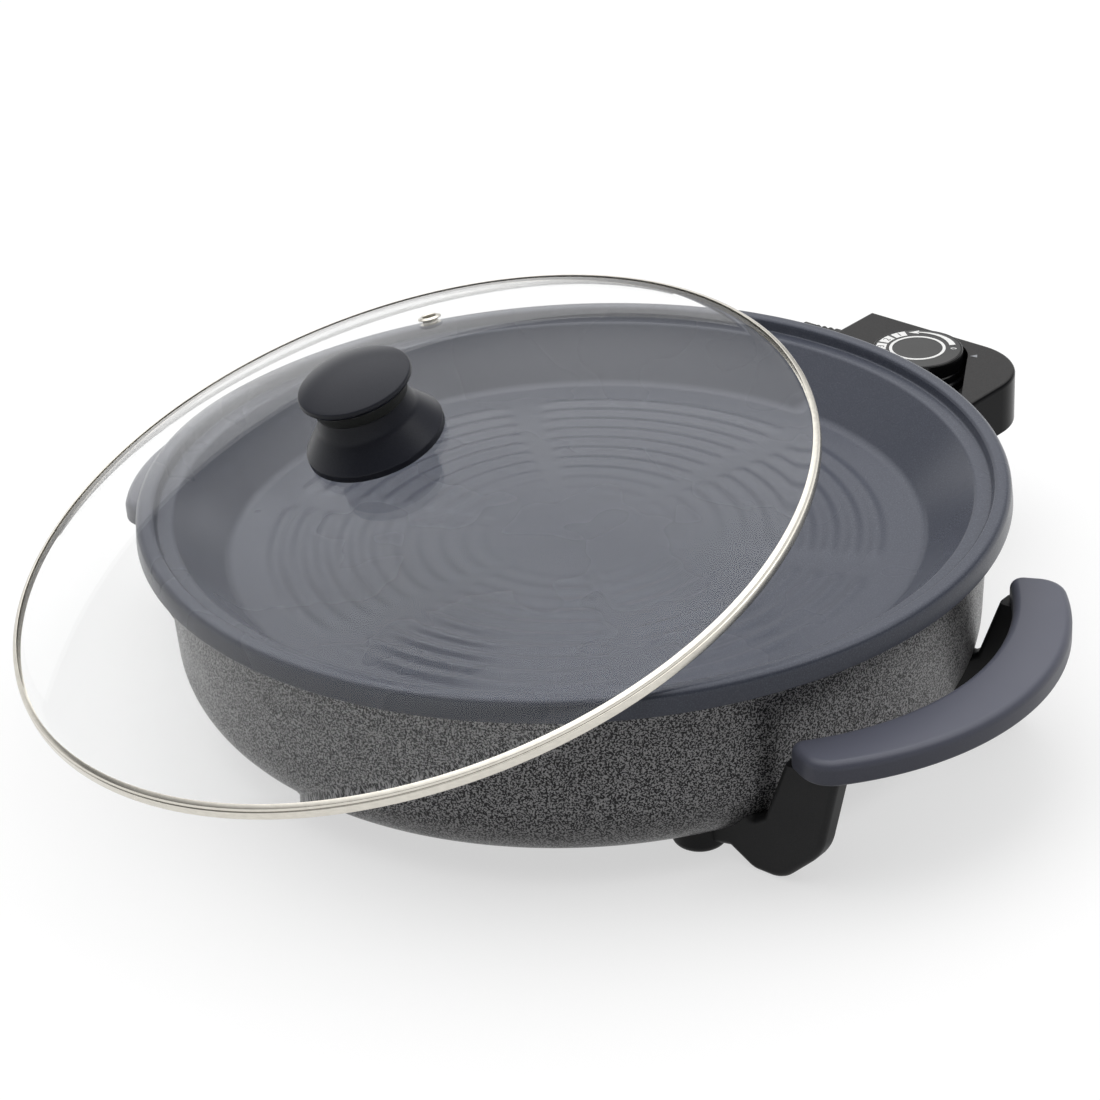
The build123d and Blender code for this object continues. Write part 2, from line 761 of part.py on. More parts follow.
def lid_knob():
    base = glass_top()
    low = base + knob_neck_height + collar_height
    under = base + knob_underside
    top = base + knob_height
    dome_rise = top - under - knob_edge
    dome = (knob_radius**2 + dome_rise**2) / (2 * dome_rise)
    neck = knob_neck_radius - 1.5
    knob = turned([(0, low), (neck, low), (neck, under - 0.8), (knob_radius - 1.5, under),
                   (knob_radius, under + 1.4), (knob_radius, top + 1.0), (0, top + 1.0)])
    knob &= Pos(0, 0, top - dome) * Sphere(dome)
    crown = [edge for edge in knob.edges().filter_by(GeomType.CIRCLE) if edge.center().Z > under + 1.5]
    knob = fillet(crown, 1.6)
    return knob - column(knob_hole, low - 1.0, low + 5.0)


def knob_screw():
    """Stainless screw up through the glass into the knob, with its washer on the inside face."""
    inside = glass_top() - glass_wall - 0.1
    washer = column(9.0, inside - 1.2, inside)
    head = column(screw_head + 1.0, inside - 1.2 - screw_head_height, inside - 1.2)
    shank = column(knob_hole - 0.3, inside, glass_top() + knob_neck_height + collar_height + 4.8)
    return washer + head + shank


def rim_points():
    """Points along the middle of the rolled rim."""
    steps = [math.radians(i / 2) for i in range(720)]
    return [(rim_radius * math.cos(a), rim_radius * math.sin(a), rim_height - rim_roll) for a in steps]


def lid_supports(tilt, lift):
    """Least gap from the rim to the lid's band, and to the inside of its glass, at one pose."""
    lean = math.radians(tilt)
    to_band = to_glass = lid_radius
    inner_sphere = glass_sphere - glass_wall
    for x, y, z in rim_points():
        shifted = y + lid_offset
        across = shifted * math.cos(lean) + (z - lift) * math.sin(lean)
        up = (z - lift) * math.cos(lean) - shifted * math.sin(lean)
        radius = math.hypot(x, across)
        beside = max(lid_radius - band_width - radius, 0, radius - lid_radius)
        to_band = min(to_band, math.hypot(beside, max(-up, 0)) - rim_roll)
        if radius < glass_radius:
            to_glass = min(to_glass, inner_sphere - math.hypot(radius, up - glass_centre()) - rim_roll)
    return to_band, to_glass


def lift_until_clear(tilt, which):
    """Lowest lid height at which the band (0) or the glass (1) just clears the rim."""
    low, high = rim_height - 60.0, rim_height + 60.0
    for _ in range(22):
        middle = (low + high) / 2
        if lid_supports(tilt, middle)[which] < rest_gap:
            low = middle
        else:
            high = middle
    return high


def settled_lid():
    """Tilt and height at which the slid-off lid rests on both its band and its glass."""
    level, steep = 2.0, 30.0
    for _ in range(14):
        tilt = (level + steep) / 2
        if lift_until_clear(tilt, 0) > lift_until_clear(tilt, 1):
            level = tilt
        else:
            steep = tilt
    tilt = (level + steep) / 2
    return tilt, max(lift_until_clear(tilt, 0), lift_until_clear(tilt, 1))


os.makedirs("parts", exist_ok=True)
lid_tilt, lid_height = settled_lid()
print(f"lid rests at tilt {lid_tilt:.3f} deg, height {lid_height:.3f}")
slide_turn = Rot(0, 0, lid_bearing + 90.0)
lid_place = slide_turn * Pos(0, -lid_offset, lid_height) * Rot(lid_tilt, 0, 0) * slide_turn.inverse()

pieces = {
    "griddle_plate": griddle_plate(),
    "outer_shell": outer_shell(),
    "base_cover": base_cover(),
    "cover_screws": cover_screws(),
    "heating_element": heating_element(),
    "element_clamps": element_clamps(),
    "clamp_screws": clamp_screws(),
    "terminal_pins": terminal_pins(),
    "terminal_bushes": terminal_bushes(),
    "socket_shroud": socket_shroud(),
    "probe_guide": probe_guide(),
    "support_posts": support_posts(),
    "post_screws": post_screws(),
    "heat_shield": heat_shield(),
    "leg_screws": leg_screws(),
    "leg_nuts": leg_nuts(),
    "case_top": case_top_shell(),
    "case_bottom": case_bottom_shell(),
    "case_screws": case_screws(),
    "probe_tube": probe_tube(),
    "contact_sleeves": contact_sleeves(),
    "thermostat_base": thermostat_base(),
    "contact_springs": contact_springs(),
    "cord_gland": cord_gland(),
    "dial_knob": dial_knob(),
    "dial_face": dial_face(),
    "dial_shaft": dial_shaft(),
    "dial_cam": dial_cam(),
    "lid_glass": lid_place * lid_glass(),
    "lid_band": lid_place * lid_band(),
    "vent_eyelet": lid_place * vent_eyelet(),
    "lid_knob": lid_place * lid_knob(),
    "knob_collar": lid_place * knob_collar(),
    "knob_flange": lid_place * knob_flange(),
    "knob_screw": lid_place * knob_screw(),
}
for end, place in zip(("right", "left"), around(2, handle_turn)):
    pieces[f"{end}_grip"] = place * grip()
    pieces[f"{end}_front_leg"] = place * leg(-1)
    pieces[f"{end}_rear_leg"] = place * leg(1)

for name, shape in pieces.items():
    solid = Compound(shape) if isinstance(shape, list) else shape
    export_step(solid, f"parts/{name}.step")
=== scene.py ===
# Electric griddle, dressed for rendering round its packed construction model.
import bpy
import json
import math
from mathutils import Matrix, Vector


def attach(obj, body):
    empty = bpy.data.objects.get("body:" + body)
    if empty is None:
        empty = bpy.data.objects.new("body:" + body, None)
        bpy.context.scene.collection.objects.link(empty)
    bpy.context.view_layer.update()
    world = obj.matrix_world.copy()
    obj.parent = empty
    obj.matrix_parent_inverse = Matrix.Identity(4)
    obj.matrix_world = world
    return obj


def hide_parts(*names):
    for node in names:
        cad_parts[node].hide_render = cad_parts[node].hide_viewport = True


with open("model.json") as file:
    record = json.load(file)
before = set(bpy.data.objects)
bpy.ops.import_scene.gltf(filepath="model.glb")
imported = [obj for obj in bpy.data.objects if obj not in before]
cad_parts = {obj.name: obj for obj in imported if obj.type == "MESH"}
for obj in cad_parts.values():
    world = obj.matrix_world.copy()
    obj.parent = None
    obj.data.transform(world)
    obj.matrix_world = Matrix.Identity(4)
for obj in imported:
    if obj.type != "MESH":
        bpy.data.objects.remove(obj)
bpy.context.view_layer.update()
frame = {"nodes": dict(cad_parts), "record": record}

mm = 0.001
weldDistance = 0.000004
print("frame loaded")


def clearSelection():
    if bpy.context.object and bpy.context.object.mode != "OBJECT":
        bpy.ops.object.mode_set(mode="OBJECT")
    bpy.ops.object.select_all(action="DESELECT")


def makeActive(piece):
    clearSelection()
    piece.select_set(True)
    bpy.context.view_layer.objects.active = piece


def roundedPath(points, corners, steps=6):
    # corners: {index: radius}, each one turned into a short arc
    path = []
    for index, point in enumerate(points):
        radius = corners.get(index)
        if not radius:
            path.append(Vector(point))
            continue
        here = Vector(point)
        before = (Vector(points[index - 1]) - here).normalized()
        after = (Vector(points[(index + 1) % len(points)]) - here).normalized()
        half = before.angle(after) / 2
        middle = here + (before + after).normalized() * (radius / math.sin(half))
        start = here + before * (radius / math.tan(half)) - middle
        finish = here + after * (radius / math.tan(half)) - middle
        sweep = start.angle_signed(finish)
        for step in range(steps + 1):
            turn = -sweep * step / steps
            across = start.x * math.cos(turn) - start.y * math.sin(turn)
            along = start.x * math.sin(turn) + start.y * math.cos(turn)
            path.append(middle + Vector((across, along)))
    return path


def drawLine(name, points, closed=True):
    # a single point pulled along the outline, as with E in edit mode; points are (x, y, z) in mm
    clearSelection()
    bpy.ops.mesh.primitive_plane_add(size=0.01, location=(0, 0, 0))
    piece = bpy.context.object
    piece.name = name
    piece.data.name = name
    bpy.ops.object.mode_set(mode="EDIT")
    bpy.ops.mesh.select_mode(type="VERT")
    bpy.ops.mesh.select_all(action="SELECT")
    bpy.ops.mesh.merge(type="CENTER")
    here = Vector(points[0]) * mm
    bpy.ops.transform.translate(value=here)
    for point in points[1:]:
        there = Vector(point) * mm
        bpy.ops.mesh.extrude_region_move(TRANSFORM_OT_translate={"value": there - here})
        here = there
    if closed:
        bpy.ops.mesh.select_all(action="SELECT")
        bpy.ops.mesh.edge_face_add()
        bpy.ops.mesh.delete(type="ONLY_FACE")
    return piece


def flatPairs(path):
    # plain number pairs, as the profiles need them
    return [(spot.x, spot.y) for spot in path]


def spinPiece(name, profile, steps=192, closed=True):
    # lathe a (radius, height) profile round the upright axis
    piece = drawLine(name, [(r, 0, z) for r, z in profile], closed)
    bpy.ops.mesh.select_all(action="SELECT")
    bpy.ops.mesh.spin(steps=steps, angle=2 * math.pi, center=(0, 0, 0), axis=(0, 0, 1))
    bpy.ops.mesh.select_all(action="SELECT")
    bpy.ops.mesh.remove_doubles(threshold=weldDistance)
    bpy.ops.mesh.normals_make_consistent(inside=False)
    bpy.ops.object.mode_set(mode="OBJECT")
    return piece


def slabPiece(name, outline, thickness, direction=(0, 0, 1)):
    # fill a closed outline and pull it out to a slab
    piece = drawLine(name, outline)
    bpy.ops.mesh.select_all(action="SELECT")
    bpy.ops.mesh.edge_face_add()
    pull = Vector(direction) * thickness * mm
    bpy.ops.mesh.extrude_region_move(TRANSFORM_OT_translate={"value": pull})
    bpy.ops.mesh.select_all(action="SELECT")
    bpy.ops.mesh.normals_make_consistent(inside=False)
    bpy.ops.object.mode_set(mode="OBJECT")
    return piece


def pickEdges(piece, wanted):
    # leaves edit mode on, with the edges selected whose middle and direction are wanted
    makeActive(piece)
    bpy.ops.object.mode_set(mode="EDIT")
    bpy.ops.mesh.select_mode(type="EDGE")
    bpy.ops.mesh.select_all(action="DESELECT")
    bpy.ops.object.mode_set(mode="OBJECT")
    points = piece.data.vertices
    for edge in piece.data.edges:
        one, two = (points[i].co / mm for i in edge.vertices)
        edge.select = wanted((one + two) / 2, (two - one).normalized())
    bpy.ops.object.mode_set(mode="EDIT")


def bevelPicked(width, segments=4):
    bpy.ops.mesh.bevel(offset=width * mm, offset_type="OFFSET", segments=segments,
                       profile=0.5, affect="EDGES")
    bpy.ops.object.mode_set(mode="OBJECT")


def useModifier(piece, kind, **settings):
    # add a modifier and apply it at once
    makeActive(piece)
    bpy.ops.object.modifier_add(type=kind)
    modifier = piece.modifiers[-1]
    for key, value in settings.items():
        setattr(modifier, key, value)
    bpy.ops.object.modifier_apply(modifier=modifier.name)


def combine(piece, other, operation):
    useModifier(piece, "BOOLEAN", operation=operation, solver="EXACT", object=other)
    bpy.data.objects.remove(other)


def copyPiece(piece, name):
    twin = piece.copy()
    twin.data = piece.data.copy()
    twin.name = name
    twin.data.name = name
    bpy.context.collection.objects.link(twin)
    return twin


def movePiece(piece, matrix):
    piece.matrix_world = matrix
    makeActive(piece)
    bpy.ops.object.transform_apply(location=True, rotation=True, scale=True)


def joinPieces(pieces, name):
    clearSelection()
    for piece in pieces:
        piece.select_set(True)
    bpy.context.view_layer.objects.active = pieces[0]
    bpy.ops.object.join()
    pieces[0].name = name
    pieces[0].data.name = name
    return pieces[0]


def finishPiece(piece, material, body, nodes=(), smooth=35, weighted=False):
    makeActive(piece)
    bpy.ops.object.shade_smooth_by_angle(angle=math.radians(smooth))
    if weighted:
        useModifier(piece, "WEIGHTED_NORMAL", keep_sharp=True, weight=60)
    piece.data.materials.clear()
    piece.data.materials.append(material)
    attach(piece, body)
    if nodes:
        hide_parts(*nodes)


def startFinish(name):
    material = bpy.data.materials.new(name)
    material.use_nodes = True
    nodes = material.node_tree.nodes
    shader = nodes["Principled BSDF"]
    place = nodes.new("ShaderNodeTexCoord")
    return material, nodes, material.node_tree.links, shader, place.outputs["Object"]


def addNoise(nodes, links, place, scale, detail=2.0, roughness=0.5, distortion=0.0, stretch=None):
    if stretch:
        mapping = nodes.new("ShaderNodeMapping")
        mapping.inputs["Scale"].default_value = stretch
        links.new(place, mapping.inputs["Vector"])
        place = mapping.outputs["Vector"]
    noise = nodes.new("ShaderNodeTexNoise")
    noise.inputs["Scale"].default_value = scale
    noise.inputs["Detail"].default_value = detail
    noise.inputs["Roughness"].default_value = roughness
    noise.inputs["Distortion"].default_value = distortion
    links.new(place, noise.inputs["Vector"])
    return noise.outputs["Fac"]


def addRamp(nodes, links, source, stops):
    ramp = nodes.new("ShaderNodeValToRGB")
    marks = ramp.color_ramp.elements
    marks[0].position, marks[0].color = stops[0][0], (*stops[0][1], 1)
    marks[1].position, marks[1].color = stops[-1][0], (*stops[-1][1], 1)
    for position, colour in stops[1:-1]:
        mark = marks.new(position)
        mark.color = (*colour, 1)
    links.new(source, ramp.inputs["Fac"])
    return ramp.outputs["Color"]


def addRange(nodes, links, source, low, high, fromLow=0.3, fromHigh=0.7):
    span = nodes.new("ShaderNodeMapRange")
    span.inputs["From Min"].default_value = fromLow
    span.inputs["From Max"].default_value = fromHigh
    span.inputs["To Min"].default_value = low
    span.inputs["To Max"].default_value = high
    links.new(source, span.inputs["Value"])
    return span.outputs["Result"]


def addBump(nodes, links, source, shader, strength, depth):
    bump = nodes.new("ShaderNodeBump")
    bump.inputs["Strength"].default_value = strength
    bump.inputs["Distance"].default_value = depth * mm
    links.new(source, bump.inputs["Height"])
    links.new(bump.outputs["Normal"], shader.inputs["Normal"])


def grainedFinish(name, look):
    # close tones broken up by a grain, with matching relief and a slowly changing roughness
    material, nodes, links, shader, place = startFinish(name)
    grain = addNoise(nodes, links, place, look["grain"], look.get("detail", 3.0),
                     look.get("falloff", 0.55), look.get("distortion", 0.0), look.get("stretch"))
    if "stops" in look:
        stops = look["stops"]
    else:
        low, high = look.get("contrast", (0.35, 0.65))
        stops = [(low, look["dark"]), (high, look["light"])]
    links.new(addRamp(nodes, links, grain, stops), shader.inputs["Base Color"])
    broad = addNoise(nodes, links, place, look.get("broad", 25.0))
    links.new(addRange(nodes, links, broad, *look["roughness"]), shader.inputs["Roughness"])
    addBump(nodes, links, grain, shader, look["relief"], look["depth"])
    shader.inputs["Metallic"].default_value = look.get("metallic", 0.0)
    shader.inputs["Specular IOR Level"].default_value = look.get("specular", 0.5)
    return material


# the case's "side" colour is painted shade: the upright faces are coloured near black where the same
# plastic on top is grey
caseLook = {"grain": 2400.0, "litTopShare": (0.75, 0.97), "roughness": (0.2, 0.42), "relief": 0.15,
            "depth": 0.03, "bend": 1.15, "side": (0.006, 0.006, 0.007, 1),
            "stops": [(0.35, (0.036, 0.035, 0.035)), (0.65, (0.052, 0.051, 0.051))]}
glassLook = {"grain": 20.0, "bend": 1.2,
             "stops": [(0.3, (0.992, 0.996, 0.995)), (0.7, (0.998, 1.0, 0.999))]}


def caseFinish():
    # moulded plastic: fine satin grain on the faces that look up, smooth on the sides; the sides are
    # coloured near black and the tops grey, which is painted shade on the sides of the same plastic
    material, nodes, links, shader, place = startFinish("casePlastic")
    grain = addNoise(nodes, links, place, caseLook["grain"])
    facing = nodes.new("ShaderNodeNewGeometry")
    split = nodes.new("ShaderNodeSeparateXYZ")
    links.new(facing.outputs["Normal"], split.inputs["Vector"])
    litTopShare = addRange(nodes, links, split.outputs["Z"], 0.0, 1.0, *caseLook["litTopShare"])
    satin = addRamp(nodes, links, grain, caseLook["stops"])
    tone = nodes.new("ShaderNodeMix")
    tone.data_type = "RGBA"
    tone.inputs["A"].default_value = caseLook["side"]
    links.new(litTopShare, tone.inputs["Factor"])
    links.new(satin, tone.inputs["B"])
    links.new(tone.outputs["Result"], shader.inputs["Base Color"])
    roughness = addRange(nodes, links, litTopShare, *caseLook["roughness"], 0.0, 1.0)
    links.new(roughness, shader.inputs["Roughness"])
    addBump(nodes, links, grain, shader, caseLook["relief"], caseLook["depth"])
    shader.inputs["IOR"].default_value = caseLook["bend"]
    return material


def glassFinish():
    # clear glass that lets lamp light and scattered light straight through to what it covers
    material, nodes, links, shader, place = startFinish("lidGlass")
    smudge = addNoise(nodes, links, place, glassLook["grain"], 3.0)
    links.new(addRamp(nodes, links, smudge, glassLook["stops"]), shader.inputs["Base Color"])
    shader.inputs["Roughness"].default_value = 0.0
    shader.inputs["Transmission Weight"].default_value = 1.0
    shader.inputs["IOR"].default_value = glassLook["bend"]
    path = nodes.new("ShaderNodeLightPath")
    passing = nodes.new("ShaderNodeMath")
    passing.operation = "MAXIMUM"
    links.new(path.outputs["Is Shadow Ray"], passing.inputs[0])
    links.new(path.outputs["Is Diffuse Ray"], passing.inputs[1])
    clear = nodes.new("ShaderNodeBsdfTransparent")
    blend = nodes.new("ShaderNodeMixShader")
    links.new(passing.outputs[0], blend.inputs["Fac"])
    links.new(shader.outputs["BSDF"], blend.inputs[1])
    links.new(clear.outputs["BSDF"], blend.inputs[2])
    links.new(blend.outputs["Shader"], nodes["Material Output"].inputs["Surface"])
    return material


finishes = {
    "nonstick_coating": grainedFinish("nonStickCoat", {  # dark blue-grey with fine pale flakes
        "grain": 1700.0, "detail": 1.0, "falloff": 0.5, "broad": 14.0,
        "stops": [(0.36, (0.056, 0.062, 0.084)), (0.58, (0.068, 0.075, 0.100)),
                  (0.78, (0.098, 0.108, 0.134))],
        "roughness": (0.25, 0.30), "relief": 0.05, "depth": 0.03, "metallic": 0.1,
        "specular": 0.3}),
    "hammertone_paint": grainedFinish("hammertonePaint", {  # sharp black and grey mottle
        "grain": 1350.0, "detail": 0.6, "falloff": 0.5, "distortion": 0.5, "broad": 60.0,
        "stops": [(0.43, (0.008, 0.008, 0.009)), (0.50, (0.085, 0.085, 0.089)),
                  (0.57, (0.42, 0.415, 0.42))],
        "roughness": (0.3, 0.38), "relief": 0.5, "depth": 0.25, "metallic": 0.2,
        "specular": 0.25}),
    "lid_glass": glassFinish(),
    # the grips are coloured much lighter than the legs of the same phenolic moulding: painted light on
    # the grip tops, which face up
    "handle_phenolic": grainedFinish("handlePhenolicPaintedLight", {
        "grain": 2600.0, "dark": (0.084, 0.088, 0.116), "light": (0.100, 0.105, 0.138),
        "roughness": (0.38, 0.46), "relief": 0.2, "depth": 0.05, "specular": 0.35}),
    # the legs are coloured near black: painted shade on the upright sides of the same phenolic as the
    # grips
    "leg_phenolic": grainedFinish("legPhenolicPaintedShade", {
        "grain": 2400.0, "dark": (0.012, 0.012, 0.013), "light": (0.020, 0.020, 0.021),
        "roughness": (0.42, 0.5), "relief": 0.2, "depth": 0.05, "specular": 0.2}),
    "knob_phenolic": grainedFinish("knobPhenolic", {
        "grain": 2600.0, "dark": (0.014, 0.015, 0.022), "light": (0.022, 0.024, 0.033),
        "roughness": (0.3, 0.36), "relief": 0.15, "depth": 0.04, "specular": 0.2}),
    "collar_grey": grainedFinish("collarGrey", {
        "grain": 1800.0, "dark": (0.026, 0.027, 0.026), "light": (0.038, 0.040, 0.037),
        "roughness": (0.4, 0.5), "relief": 0.15, "depth": 0.04, "specular": 0.2}),
    "case_plastic": caseFinish(),
    "dial_plastic": grainedFinish("dialPlastic", {
        "grain": 3000.0, "dark": (0.004, 0.004, 0.005), "light": (0.008, 0.008, 0.009),
        "roughness": (0.2, 0.28), "relief": 0.1, "depth": 0.03, "specular": 0.3}),
    "dial_print": grainedFinish("dialDisc", {
        "grain": 3200.0, "dark": (0.022, 0.022, 0.022), "light": (0.030, 0.030, 0.030),
        "roughness": (0.42, 0.5), "relief": 0.1, "depth": 0.03}),
    "band_stainless": grainedFinish("bandStainless", {
        "grain": 900.0, "stretch": (0.3, 0.3, 1.0), "contrast": (0.2, 0.8),
        "dark": (0.60, 0.57, 0.51), "light": (0.72, 0.69, 0.62), "roughness": (0.2, 0.28),
        "relief": 0.04, "depth": 0.01, "metallic": 1.0}),
    "probe_steel": grainedFinish("probeSteel", {
        "grain": 1400.0, "dark": (0.56, 0.55, 0.53), "light": (0.7, 0.69, 0.67),
        "roughness": (0.22, 0.34), "relief": 0.1, "depth": 0.03, "metallic": 1.0}),
    "zinc_plate": grainedFinish("zincPlate", {
        "grain": 900.0, "dark": (0.5, 0.5, 0.48), "light": (0.68, 0.68, 0.64),
        "roughness": (0.25, 0.4), "relief": 0.15, "depth": 0.03, "metallic": 1.0}),
    "galvanised_sheet": grainedFinish("galvanisedSheet", {
        "grain": 180.0, "distortion": 1.2, "dark": (0.42, 0.43, 0.44),
        "light": (0.62, 0.63, 0.64), "roughness": (0.34, 0.52), "relief": 0.1, "depth": 0.04,
        "metallic": 0.9}),
    "bright_aluminium": grainedFinish("brightAluminium", {
        "grain": 700.0, "stretch": (0.06, 1.0, 1.0), "dark": (0.70, 0.71, 0.72),
        "light": (0.80, 0.81, 0.82), "roughness": (0.2, 0.32), "relief": 0.08, "depth": 0.02,
        "metallic": 1.0}),
    "element_sheath": grainedFinish("elementSheath", {
        "grain": 600.0, "dark": (0.22, 0.20, 0.18), "light": (0.42, 0.40, 0.37),
        "roughness": (0.4, 0.55), "relief": 0.2, "depth": 0.05, "metallic": 0.8}),
    "ceramic": grainedFinish("ceramicWhite", {
        "grain": 1500.0, "dark": (0.66, 0.63, 0.57), "light": (0.80, 0.78, 0.72),
        "roughness": (0.55, 0.7), "relief": 0.2, "depth": 0.05}),
    "brass_contact": grainedFinish("brassContact", {
        "grain": 1200.0, "dark": (0.56, 0.40, 0.16), "light": (0.76, 0.58, 0.27),
        "roughness": (0.25, 0.4), "relief": 0.1, "depth": 0.03, "metallic": 1.0}),
    "gland_rubber": grainedFinish("glandRubber", {
        "grain": 2200.0, "dark": (0.010, 0.010, 0.010), "light": (0.020, 0.020, 0.020),
        "roughness": (0.5, 0.65), "relief": 0.3, "depth": 0.06}),
}
whitePrint = grainedFinish("whitePrint", {
    "grain": 2500.0, "dark": (0.74, 0.74, 0.73), "light": (0.84, 0.84, 0.83),
    "roughness": (0.4, 0.5), "relief": 0.05, "depth": 0.02})
greyPrint = grainedFinish("greyPrint", {
    "grain": 2500.0, "dark": (0.20, 0.21, 0.23), "light": (0.28, 0.29, 0.31),
    "roughness": (0.4, 0.5), "relief": 0.05, "depth": 0.02})
print("finishes ready")

# aimOffset is how far the aim stands right of the middle of the view and above it
view = {"focalLength": 101.68, "sensor": 36.0, "reach": 50.0, "distance": 1428.0,
        "elevation": 28.365, "roll": 3.233, "bearing": 43.5, "aim": (0.0, 0.0, 104.0),
        "aimOffset": (10.57, 34.01)}
# the lamp and the floor are in metres, the wall's radii and heights in millimetres
light = {"skyLow": 0.10, "skyHigh": 2.3, "skyEdge": 0.42, "brightSide": (-0.24, 0.18, 0.95),
         "side": 14.0, "sideSpot": (2.2, 1.6, 3.0), "sideAim": (0, 0, 0.05), "sideSize": (1.8, 1.8),
         "floorSide": 24.0, "floorGlow": 0.6, "floorBounce": (0.15, 0.15, 0.15, 1),
         "floorGrain": 3.0, "floorStops": [(0.3, (0.94, 0.94, 0.94)), (0.7, (0.95, 0.95, 0.95))],
         "wallProfile": [(11900, -100), (11980, 200), (12000, 400), (12000, 3200)]}


def placeCamera(settings):
    cameraData = bpy.data.cameras.new("griddleCamera")
    cameraData.lens = settings["focalLength"]
    cameraData.sensor_width = settings["sensor"]
    cameraData.clip_end = settings["reach"]
    camera = bpy.data.objects.new("griddleCamera", cameraData)
    bpy.context.collection.objects.link(camera)
    lift = math.radians(settings["elevation"])
    bearing = math.radians(settings["bearing"])
    forward = Vector((-math.sin(bearing) * math.cos(lift),
                      math.cos(bearing) * math.cos(lift), -math.sin(lift)))
    right = Vector((math.cos(bearing), math.sin(bearing), 0.0))
    up = right.cross(forward)
    roll = math.radians(settings["roll"])
    rightRolled = right * math.cos(roll) - up * math.sin(roll)
    upRolled = right * math.sin(roll) + up * math.cos(roll)
    offsetRight, offsetUp = settings["aimOffset"]
    spot = (Vector(settings["aim"]) - forward * settings["distance"]
            - rightRolled * offsetRight - upRolled * offsetUp)
    turn = Matrix((rightRolled, upRolled, -forward)).transposed()
    camera.matrix_world = Matrix.Translation(spot * mm) @ turn.to_4x4()
    bpy.context.scene.camera = camera


def placeSoftbox(name, spot, target, size, power):
    data = bpy.data.lights.new(name, "AREA")
    data.shape = "RECTANGLE"
    data.size, data.size_y = size
    data.energy = power
    lamp = bpy.data.objects.new(name, data)
    bpy.context.collection.objects.link(lamp)
    aim = Vector(target) - Vector(spot)
    turn = aim.to_track_quat("-Z", "Y").to_matrix()
    lamp.matrix_world = Matrix.Translation(Vector(spot)) @ turn.to_4x4()


placeCamera(view)
placeSoftbox("sideBox", light["sideSpot"], light["sideAim"], light["sideSize"], light["side"])

# a soft sky that brightens towards one side and overhead
world = bpy.data.worlds.new("studio")
bpy.context.scene.world = world
world.use_nodes = True
nodes, links = world.node_tree.nodes, world.node_tree.links
sky = nodes["Background"]
direction = nodes.new("ShaderNodeTexCoord")
towards = nodes.new("ShaderNodeVectorMath")
towards.operation = "DOT_PRODUCT"
towards.inputs[1].default_value = Vector(light["brightSide"]).normalized()
links.new(direction.outputs["Generated"], towards.inputs[0])
fade = addRange(nodes, links, towards.outputs["Value"], light["skyLow"], light["skyHigh"],
                light["skyEdge"], 1.0)
fade.node.interpolation_type = "SMOOTHSTEP"
links.new(fade, sky.inputs["Strength"])
sky.inputs["Color"].default_value = (1, 1, 1, 1)


def seenByViewer(nodes, links):
    # one for rays from the camera and for those that come by way of gloss or glass
    path = nodes.new("ShaderNodeLightPath")
    seen = path.outputs["Is Camera Ray"]
    for kind in ("Is Glossy Ray", "Is Transmission Ray"):
        either = nodes.new("ShaderNodeMath")
        either.operation = "MAXIMUM"
        links.new(seen, either.inputs[0])
        links.new(path.outputs[kind], either.inputs[1])
        seen = either.outputs[0]
    return seen


def backdropFinish():
    # white where it is seen, and no obstacle to the light on the floor
    material, nodes, links, shader, place = startFinish("paleBackdrop")
    white = nodes.new("ShaderNodeEmission")
    white.inputs["Color"].default_value = (1, 1, 1, 1)
    clear = nodes.new("ShaderNodeBsdfTransparent")
    blend = nodes.new("ShaderNodeMixShader")
    links.new(seenByViewer(nodes, links), blend.inputs["Fac"])
    links.new(clear.outputs["BSDF"], blend.inputs[1])
    links.new(white.outputs["Emission"], blend.inputs[2])
    links.new(blend.outputs["Shader"], nodes["Material Output"].inputs["Surface"])
    return material


def paleFloorFinish():
    # white wherever nothing shades it, keeps a soft shadow and throws back little light
    material, nodes, links, shader, place = startFinish("paleFloor")
    grain = addNoise(nodes, links, place, light["floorGrain"])
    pale = addRamp(nodes, links, grain, light["floorStops"])
    shader.inputs["Roughness"].default_value = 0.9
    shader.inputs["Specular IOR Level"].default_value = 0.0
    white = nodes.new("ShaderNodeEmission")
    white.inputs["Color"].default_value = (1, 1, 1, 1)
    seen = seenByViewer(nodes, links)
    tone = nodes.new("ShaderNodeMix")
    tone.data_type = "RGBA"
    tone.inputs["A"].default_value = light["floorBounce"]
    links.new(seen, tone.inputs["Factor"])
    links.new(pale, tone.inputs["B"])
    links.new(tone.outputs["Result"], shader.inputs["Base Color"])
    share = nodes.new("ShaderNodeMath")
    share.operation = "MULTIPLY"
    share.inputs[1].default_value = light["floorGlow"]
    links.new(seen, share.inputs[0])
    blend = nodes.new("ShaderNodeMixShader")
    links.new(share.outputs[0], blend.inputs["Fac"])
    links.new(shader.outputs["BSDF"], blend.inputs[1])
    links.new(white.outputs["Emission"], blend.inputs[2])
    links.new(blend.outputs["Shader"], nodes["Material Output"].inputs["Surface"])
    return material


clearSelection()
bpy.ops.mesh.primitive_plane_add(size=light["floorSide"], location=(0, 0, 0))
floor = bpy.context.object
floor.name = "studioFloor"
floor.data.materials.append(paleFloorFinish())
# a low white wall all round, so that the horizon stays pale in low views
backdrop = spinPiece("studioBackdrop", light["wallProfile"], 64, False)
backdrop.data.materials.append(backdropFinish())
bpy.context.scene.view_settings.view_transform = "Standard"
print("studio ready")

